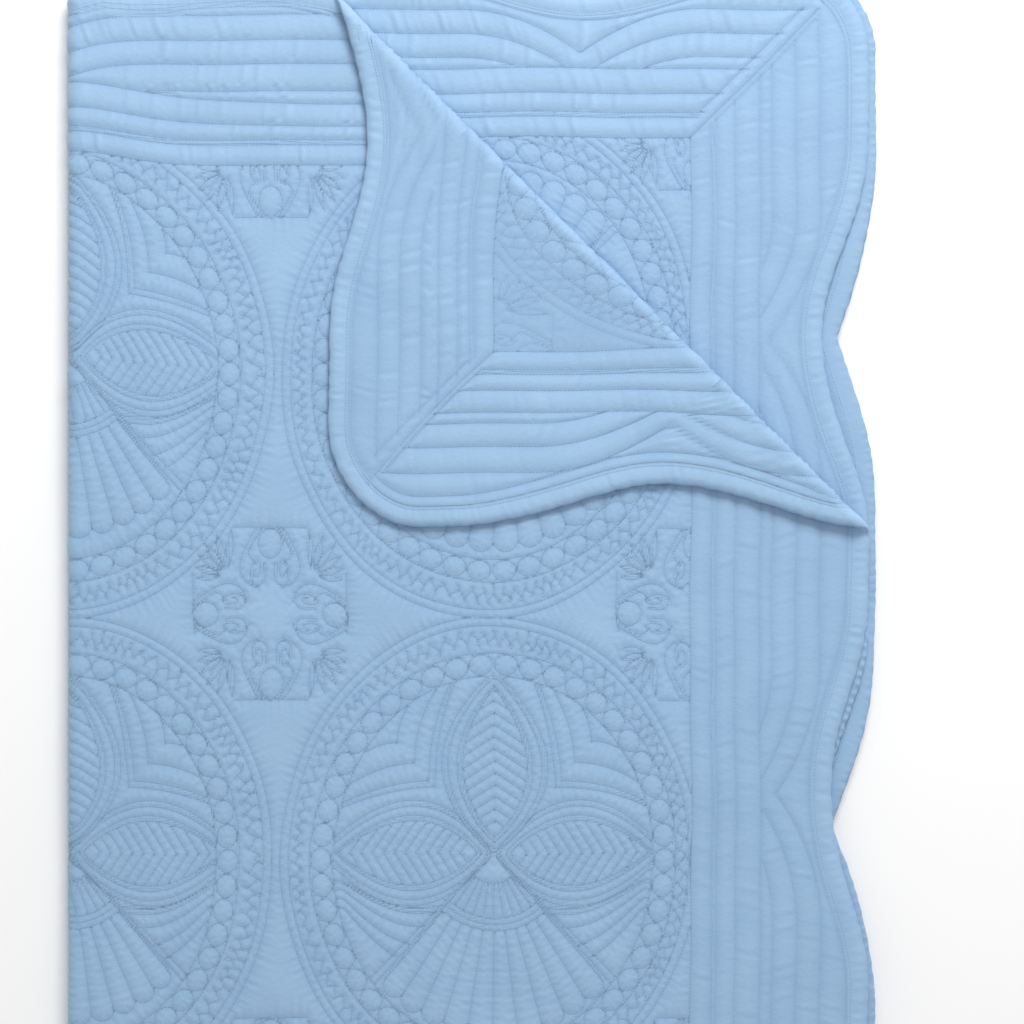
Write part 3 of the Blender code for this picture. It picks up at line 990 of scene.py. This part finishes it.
def lines_of(*stretches):
    """Places along one direction, from stretches of start, end and pitch."""
    places = []
    for start, end, pitch in stretches:
        count = max(int(round((end - start) / pitch)), 1)
        places.append(np.linspace(start, end, count, endpoint=False))
    places.append([stretches[-1][1]])
    return np.concatenate(places)


print("a row from 0 to 6 at the fine pitch:", lines_of((0.0, 6.0, FINE)))


# %% Make the centre panel
def under_the_front(u, v):
    """Where the close pieces of the front already cover the wide one."""
    return (u > -8.1) & (v > 7.9)


left_lines = lines_of((-8.0, 324.0, FINE))
right_lines = lines_of((324.0, FRAME_U, FINE))
hidden_u = lines_of((-FRAME_U, -8.0, 10.3), (-8.0, 16.0, 2.0), (16.0, FRAME_U, 10.2))
hidden_v = lines_of((-FRAME_V, 8.0, 10.3), (8.0, 20.0, 2.0), (20.0, FRAME_V, 10.2))
back_u = lines_of((-FRAME_U, -10.0, 11.0), (-10.0, 16.0, 2.0), (16.0, 410.0, 9.0),
                  (410.0, FRAME_U, FINE))
back_v = lines_of((-FRAME_V, -720.0, FINE), (-720.0, 6.0, 11.0), (6.0, 22.0, 2.0),
                  (22.0, 740.0, 9.0), (740.0, FRAME_V, FINE))
panel_grids = (
    ("front_field_left", left_lines, lines_of((8.0, FRAME_V, FINE)), 1, None),
    ("front_field_right", right_lines, lines_of((8.0, 640.0, FINE)), 1, None),
    ("front_field_turned", lines_of((324.0, FRAME_U, 4.0)), lines_of((640.0, FRAME_V, 4.0)), 1, None),
    ("front_field_inside", hidden_u, hidden_v, 1, under_the_front),
    ("back_field", back_u, back_v, -1, None),
)
pieces_of = {"centre_panel": [field_sheet(*grid) for grid in panel_grids]}
for side in SIDES:
    pieces_of["border_" + side] = []

# %% [markdown]
# The borders. Each is one strip of grid from the frame line out to the band, and its ends slant
# to the mitre. The same strip is made twice, as the front and as the back.

# %% Make the borders
s_of = {
    ("top", 1): lines_of((-FRAME_U, -8.0, 12.0), (-8.0, 420.0, FINE), (420.0, FRAME_U, 4.0)),
    ("right", 1): lines_of((-FRAME_V, 6.0, 12.0), (6.0, 640.0, FINE), (640.0, FRAME_V, 4.0)),
    ("bottom", 1): lines_of((-FRAME_U, -10.0, 12.0), (-10.0, 18.0, 2.0), (18.0, FRAME_U, 12.0)),
    ("left", 1): lines_of((-FRAME_V, 4.0, 12.0), (4.0, 22.0, 2.0), (22.0, FRAME_V, 12.0)),
    ("top", -1): lines_of((-FRAME_U, -10.0, 12.0), (-10.0, 18.0, 2.0), (18.0, 380.0, 8.0),
                          (380.0, FRAME_U, FINE)),
    ("right", -1): lines_of((-FRAME_V, -680.0, FINE), (-680.0, 6.0, 8.0), (6.0, 20.0, 2.0),
                            (20.0, 700.0, 8.0), (700.0, FRAME_V, FINE)),
    ("bottom", -1): lines_of((-FRAME_U, -10.0, 12.0), (-10.0, 18.0, 2.0), (18.0, 200.0, 6.0),
                             (200.0, FRAME_U, FINE)),
    ("left", -1): lines_of((-FRAME_V, 4.0, 12.0), (4.0, 22.0, 2.0), (22.0, FRAME_V, 12.0)),
}
for (side, face), s_lines in s_of.items():
    seen = side in ("top", "right") or (side == "bottom" and face < 0)
    name = ("front_" if face > 0 else "back_") + side + "_border"
    rows = 76 if seen else 16
    pieces_of["border_" + side].append(border_sheet(name, side, s_lines, rows, face))


# %% [markdown]
# The binding is a narrow band folded round the raw edge and topstitched. It runs all the way
# round the scallops, so it is a long grid bent over the edge: its rows go from the inner line
# on the front, over the edge, to the inner line on the back.

# %% The band round the edge
BAND_ROWS = 10
BAND_CROWN = 0.0003
LOWER_BARS = 0.00055
BAND_SWAY = 0.35


def band_places():
    """Side and place of every row across the band, round the whole quilt."""
    places = []
    for side in SIDES:
        end = SIDES[side]["half"] + CORNER_REACH
        if side in ("top", "bottom"):
            s = lines_of((-end, -8.0, 10.0), (-8.0, end, FINE))
        else:
            s = lines_of((-end, end, FINE if side == "right" else 3.0))
        if side in ("right", "bottom"):
            s = s[::-1]
        places += [(side, value) for value in s[:-1]]
    return places[-1:] + places + places[:2]


def band_layout(places, inward):
    """Flat u and v of the band's grid."""
    sides = np.array([side for side, _ in places])
    values = np.array([value for _, value in places])
    u = np.empty((len(places), len(inward)))
    v = np.empty_like(u)
    for side in SIDES:
        chosen = sides == side
        for index, inset in enumerate(inward):
            along, offset = edge_point(side, values[chosen], inset)
            u[chosen, index], v[chosen, index] = to_flat(side, along, offset)
    return u, v


print("the band's grid has", len(band_places()), "rows across it")


# %% Height of the band
def band_pinch(length):
    """Small gathers along the band: a faint even one and two uneven ones."""
    even = 0.30 * np.sin(length * 2 * np.pi / 8.7 + 1.5 * np.sin(length / 23.0))
    around = length % 2200.0 - 1100.0
    first = np.interp(around, CREASE_PLACES, CREASES[36])
    return even + first + 0.8 * np.interp(around, CREASE_PLACES, CREASES[37])


def band_height(u, v, steps, inward, length, gap, run):
    """Signed height of the band's points over the middle of the cloth."""
    pinch = band_pinch(length)[:, None]
    share = np.clip(inward / 9.0, 0.0, 1.0)
    round_edge = np.sqrt(np.clip(1 - (1 - share) ** 2, 0.0, None))
    crown = np.sin(np.pi * np.clip(inward / TOPSTITCH[0], 0.0, 1.0)) ** 0.8
    height = {}
    for face, shown in ((1, front_shows(u, v)), (-1, back_shows(u, v))):
        relief = 0.6 * puff(gap, run, u, v) * shown * np.clip(inward / 6.0, 0.0, 1.0)
        relief = relief + BAND_CROWN * (1 + 0.8 * pinch) * crown * (0.25 + 0.75 * shown)
        height[face] = HALF_THICK * (0.12 + 0.88 * round_edge) + relief
    w = np.where(steps > 0, height[1], -height[-1])
    w[:, BAND_ROWS] = 0.0
    lower = 1 - np.maximum(front_shows(u, v), back_shows(u, v))
    bars = 0.7 * np.sin(length * 2 * np.pi / 9.3 + 1.5 * np.sin(length / 27.0))[:, None] + pinch
    return w + LOWER_BARS * lower * bars * (1 - share)


print("the band stands", BAND_CROWN * 1000, "mm over the cloth")


# %% Bend the band over the edge
def binding_object():
    """A long grid bent round the scalloped edge."""
    steps = np.linspace(-1.0, 1.0, 2 * BAND_ROWS + 1)
    inward = BAND * (1 - np.cos(np.abs(steps) * np.pi / 2)) ** 0.85
    u, v = band_layout(band_places(), inward)
    gap, aside, run = nearest_stitch(u, v)
    length = running_length(np.column_stack([u[:, BAND_ROWS], v[:, BAND_ROWS]]))
    w = band_height(u, v, steps, inward, length, gap, run)
    sway = BAND_SWAY * (1.0 - np.clip(inward / BAND, 0.0, 1.0))
    long = length[:, None]
    place_u, place_v = hand_made(u, v)
    place_u = place_u + sway * np.sin(long * 0.31 + 2.0 * np.sin(long * 0.07))
    place_v = place_v + sway * np.cos(long * 0.27 + 2.0 * np.sin(long * 0.06))
    points = np.stack(fold(place_u * STEP, place_v * STEP, w), axis=-1)
    facts = {"gap": gap, "aside": aside, "run": run, "loft": np.abs(w) / (HALF_THICK + LOFT),
             "line_shade_and_dent_share": np.ones(u.shape)}
    padded = np.concatenate([2 * points[:, :1] - points[:, 1:2], points,
                             2 * points[:, -1:] - points[:, -2:-1]], axis=1)
    normals = outward_normals(padded, 1)
    inside = slice(1, -1)
    facts = {key: values[inside] for key, values in facts.items()}
    flat_length = np.broadcast_to(long, u.shape)[inside]
    flat_across = np.broadcast_to(steps * BAND, u.shape)[inside]
    return sheet_object("edge_band", points[inside], normals, facts, flat_length, flat_across, 1)


pieces_of["edge_binding"] = [binding_object()]

# %% [markdown]
# The cloth's material. Cotton is matt with a soft sheen at grazing angles. The weave is too
# fine to model, so two crossed waves on the flat layout give it as bump. The stitches are read
# from the numbers stored on each point: a short dip where a stitch goes in, and a rounded
# thread between the dips, as bump. The colour has painted shade in the lines, in their dips and
# on the low cloth, and painted light high on the puffs.

# %% Short names for the nodes that the material repeats
def link(tree, start, end):
    """Join two sockets."""
    tree.links.new(start, end)


def maths(tree, operation, first, second=None, clamp=False):
    """A Math node whose inputs are sockets or numbers."""
    node = tree.nodes.new("ShaderNodeMath")
    node.operation = operation
    node.use_clamp = clamp
    for slot_index, value in enumerate((first, second)):
        if value is None:
            continue
        if isinstance(value, (int, float)):
            node.inputs[slot_index].default_value = value
        else:
            link(tree, value, node.inputs[slot_index])
    return node.outputs[0]


def stored(tree, name):
    """A number kept on the mesh's points."""
    node = tree.nodes.new("ShaderNodeAttribute")
    node.attribute_name = name
    return node.outputs["Fac"]


print("math, link and attribute nodes have short names now")

# %% Stitches, painted shade and height of the cotton
STITCH_PITCH = 3.4
LINE_HALF = 1.1
LINE_REACH = 2.2
WARP_PITCH = 0.00055
WEFT_PITCH = 0.00060
WEAVE_DEPTH = 0.000012
CRINKLE_DEPTH = 0.00022
STITCH_DEPTH = 0.00010
MOTTLE_SCALE, CRINKLE_SCALE = 38.0, 420.0
# Colour mix factors: painted shade on the low cloth, painted light high on the puffs, and random mottling.
SHADE_BASE_MIX, LOFT_SHADE_MIX, MOTTLE_TONE = 0.38, 0.55, 0.55
# Painted shade in the stitch lines and in each stitch's dip.
LINE_SHADE, HOLE_SHADE = 0.05, 0.50


def stitch_marks(tree):
    """How much a place lies on a line of stitches, and in a stitch's own dip."""
    beside = maths(tree, "ABSOLUTE", stored(tree, "aside"))
    narrow = maths(tree, "SUBTRACT", 1.0, maths(tree, "DIVIDE", beside, LINE_HALF), clamp=True)
    near = maths(tree, "DIVIDE", stored(tree, "gap"), LINE_REACH)
    near = maths(tree, "SUBTRACT", 1.0, near, clamp=True)
    on_line = maths(tree, "MULTIPLY", narrow, maths(tree, "POWER", near, 0.5))
    # The stored share sets how strongly the lines are painted in shade and dented.
    on_line = maths(tree, "MULTIPLY", on_line, stored(tree, "line_shade_and_dent_share"))
    beat = maths(tree, "MULTIPLY", stored(tree, "run"), 2 * math.pi / STITCH_PITCH)
    beat = maths(tree, "MULTIPLY", maths(tree, "SINE", beat), 0.5)
    beat = maths(tree, "ADD", beat, 0.5)
    return on_line, maths(tree, "MULTIPLY", on_line, beat)


def painted_shade_and_mottle(tree, layout, on_line, hole):
    """Painted shade as a mix factor, from 0 low in a stitch to 1 high on a puff, with a faint mottling."""
    mottle = tree.nodes.new("ShaderNodeTexNoise")
    mottle.inputs["Scale"].default_value = MOTTLE_SCALE
    mottle.inputs["Detail"].default_value = 5.0
    link(tree, layout.outputs["UV"], mottle.inputs["Vector"])
    # Painted shade and light: the colour is lighter the higher the puff stands.
    shade_and_mottle_mix = maths(tree, "MULTIPLY", stored(tree, "loft"), LOFT_SHADE_MIX)
    shade_and_mottle_mix = maths(tree, "ADD", shade_and_mottle_mix, SHADE_BASE_MIX)
    speck = maths(tree, "SUBTRACT", mottle.outputs["Fac"], 0.5)
    shade_and_mottle_mix = maths(tree, "ADD", shade_and_mottle_mix, maths(tree, "MULTIPLY", speck, MOTTLE_TONE))
    # Painted shade in the stitch lines and their dips.
    shade_and_mottle_mix = maths(tree, "SUBTRACT", shade_and_mottle_mix, maths(tree, "MULTIPLY", on_line, LINE_SHADE))
    return maths(tree, "SUBTRACT", shade_and_mottle_mix, maths(tree, "MULTIPLY", hole, HOLE_SHADE), clamp=True)


def cloth_height(tree, layout, on_line, hole):
    """Weave, crinkle and stitches as one height in metres."""
    split = tree.nodes.new("ShaderNodeSeparateXYZ")
    link(tree, layout.outputs["UV"], split.inputs[0])
    warp = maths(tree, "SINE", maths(tree, "MULTIPLY", split.outputs[0], 2 * math.pi / WARP_PITCH))
    weft = maths(tree, "SINE", maths(tree, "MULTIPLY", split.outputs[1], 2 * math.pi / WEFT_PITCH))
    weave = maths(tree, "MULTIPLY", maths(tree, "ADD", warp, weft), WEAVE_DEPTH)
    crinkle = tree.nodes.new("ShaderNodeTexNoise")
    crinkle.inputs["Scale"].default_value = CRINKLE_SCALE
    crinkle.inputs["Detail"].default_value = 3.0
    link(tree, layout.outputs["UV"], crinkle.inputs["Vector"])
    height = maths(tree, "ADD", weave, maths(tree, "MULTIPLY", crinkle.outputs["Fac"], CRINKLE_DEPTH))
    pulled = maths(tree, "MULTIPLY", maths(tree, "ADD", on_line, hole), -STITCH_DEPTH)
    return maths(tree, "ADD", height, pulled)


print("a stitch is", round(STITCH_PITCH * STEP * 1000, 1), "mm long")


# %% Join them into one material
def cotton(name, colour, shade_and_mottle_colour):
    """Washed cotton with weave, mottling, running stitches and painted shade in its colour."""
    material = bpy.data.materials.new(name)
    material.use_nodes = True
    tree = material.node_tree
    surface = tree.nodes["Principled BSDF"]
    surface.inputs["Roughness"].default_value = 0.82
    surface.inputs["Specular IOR Level"].default_value = 0.25
    surface.inputs["Sheen Weight"].default_value = 0.25
    surface.inputs["Sheen Roughness"].default_value = 0.5

    layout = tree.nodes.new("ShaderNodeUVMap")
    layout.uv_map = "flat"
    on_line, hole = stitch_marks(tree)
    # The colour is mixed from the lit cloth and the cloth in painted shade.
    base = tree.nodes.new("ShaderNodeMix")
    base.data_type = "RGBA"
    base.inputs["A"].default_value = shade_and_mottle_colour
    base.inputs["B"].default_value = colour
    link(tree, painted_shade_and_mottle(tree, layout, on_line, hole), base.inputs["Factor"])
    link(tree, base.outputs["Result"], surface.inputs["Base Color"])

    bump = tree.nodes.new("ShaderNodeBump")
    bump.inputs["Strength"].default_value = 1.0
    bump.inputs["Distance"].default_value = 1.0
    link(tree, cloth_height(tree, layout, on_line, hole), bump.inputs["Height"])
    link(tree, bump.outputs["Normal"], surface.inputs["Normal"])
    return material


CLOTH_COLOUR = (0.315, 0.482, 0.675, 1.0)
# The second colour is the cloth in painted shade, and the low end of the random mottling as well.
CLOTH_SHADE_AND_MOTTLE = (0.215, 0.355, 0.545, 1.0)
cloth = cotton("quilted_cotton", CLOTH_COLOUR, CLOTH_SHADE_AND_MOTTLE)
edge_cloth = cotton("band_cotton", CLOTH_COLOUR, CLOTH_SHADE_AND_MOTTLE)
print("materials:", cloth.name, "and", edge_cloth.name)

# %% [markdown]
# Every piece gets its material and moves with the root body, and the solid that it stands for
# is hidden. Nothing here changes a shape.

# %% Give every piece its body and material, and hide the solid it stands for
for node, pieces in pieces_of.items():
    for item in pieces:
        item.data.materials.append(edge_cloth if node == "edge_binding" else cloth)
        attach(item, "root")
        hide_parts(node)

# %% [markdown]
# The floor, the light and the camera. The light is a wide soft window from the top of the
# picture with a bright room around it, so shadows are faint. The camera hangs straight above.

# %% The floor
FLOOR_HALF = 3.0
PALE = (0.92, 0.92, 0.92, 1.0)
bm = bmesh.new()
bmesh.ops.create_grid(bm, x_segments=1, y_segments=1, size=FLOOR_HALF)
mesh = bpy.data.meshes.new("floor")
bm.to_mesh(mesh)
bm.free()
floor = bpy.data.objects.new("floor", mesh)
bpy.context.collection.objects.link(floor)
paper = bpy.data.materials.new("pale_floor")
paper.use_nodes = True
paper_surface = paper.node_tree.nodes["Principled BSDF"]
paper_surface.inputs["Base Color"].default_value = PALE
paper_surface.inputs["Roughness"].default_value = 0.9
floor.data.materials.append(paper)
print("the floor is", 2 * FLOOR_HALF, "m wide")

# %% The light
ROOM_LIGHT = 0.66
WINDOW_POWER = 26.0
WINDOW_WIDTH, WINDOW_DEPTH = 0.9, 0.6
WINDOW_PLACE = (0.35, 1.35, 1.05)
world = bpy.data.worlds.new("room")
bpy.context.scene.world = world
world.use_nodes = True
background = world.node_tree.nodes["Background"]
background.inputs["Color"].default_value = (1.0, 1.0, 1.0, 1.0)
background.inputs["Strength"].default_value = ROOM_LIGHT
window = bpy.data.lights.new("window", "AREA")
window.shape = "RECTANGLE"
window.size = WINDOW_WIDTH
window.size_y = WINDOW_DEPTH
window.energy = WINDOW_POWER
window_object = bpy.data.objects.new("window", window)
bpy.context.collection.objects.link(window_object)
window_object.location = WINDOW_PLACE
aim = -Vector(window_object.location)
window_object.rotation_euler = aim.to_track_quat("-Z", "Y").to_euler()
print("window light of", WINDOW_POWER, "W at", WINDOW_PLACE)

# %% [markdown]
# The photo was taken from straight above, so the camera looks straight down. Its long lens keeps
# the upper layers from looking larger than the lower ones. Its height follows from the width
# that the picture has to show.

# %% The camera
camera_data = bpy.data.cameras.new("camera")
camera_data.lens = 100.0
camera_data.sensor_width = 36.0
camera = bpy.data.objects.new("camera", camera_data)
bpy.context.collection.objects.link(camera)
PICTURE_STEPS = 1024
VIEW_MIDDLE = (0.0229, 0.0076)
PILE_TOP = 0.0138
VIEW_WIDTH = PICTURE_STEPS * STEP
CAMERA_HEIGHT = VIEW_WIDTH * camera_data.lens / camera_data.sensor_width
camera.location = (*VIEW_MIDDLE, PILE_TOP + CAMERA_HEIGHT)
bpy.context.scene.camera = camera
bpy.context.scene.view_settings.view_transform = "Standard"
print("the camera is", round(CAMERA_HEIGHT, 2), "m above the quilt")
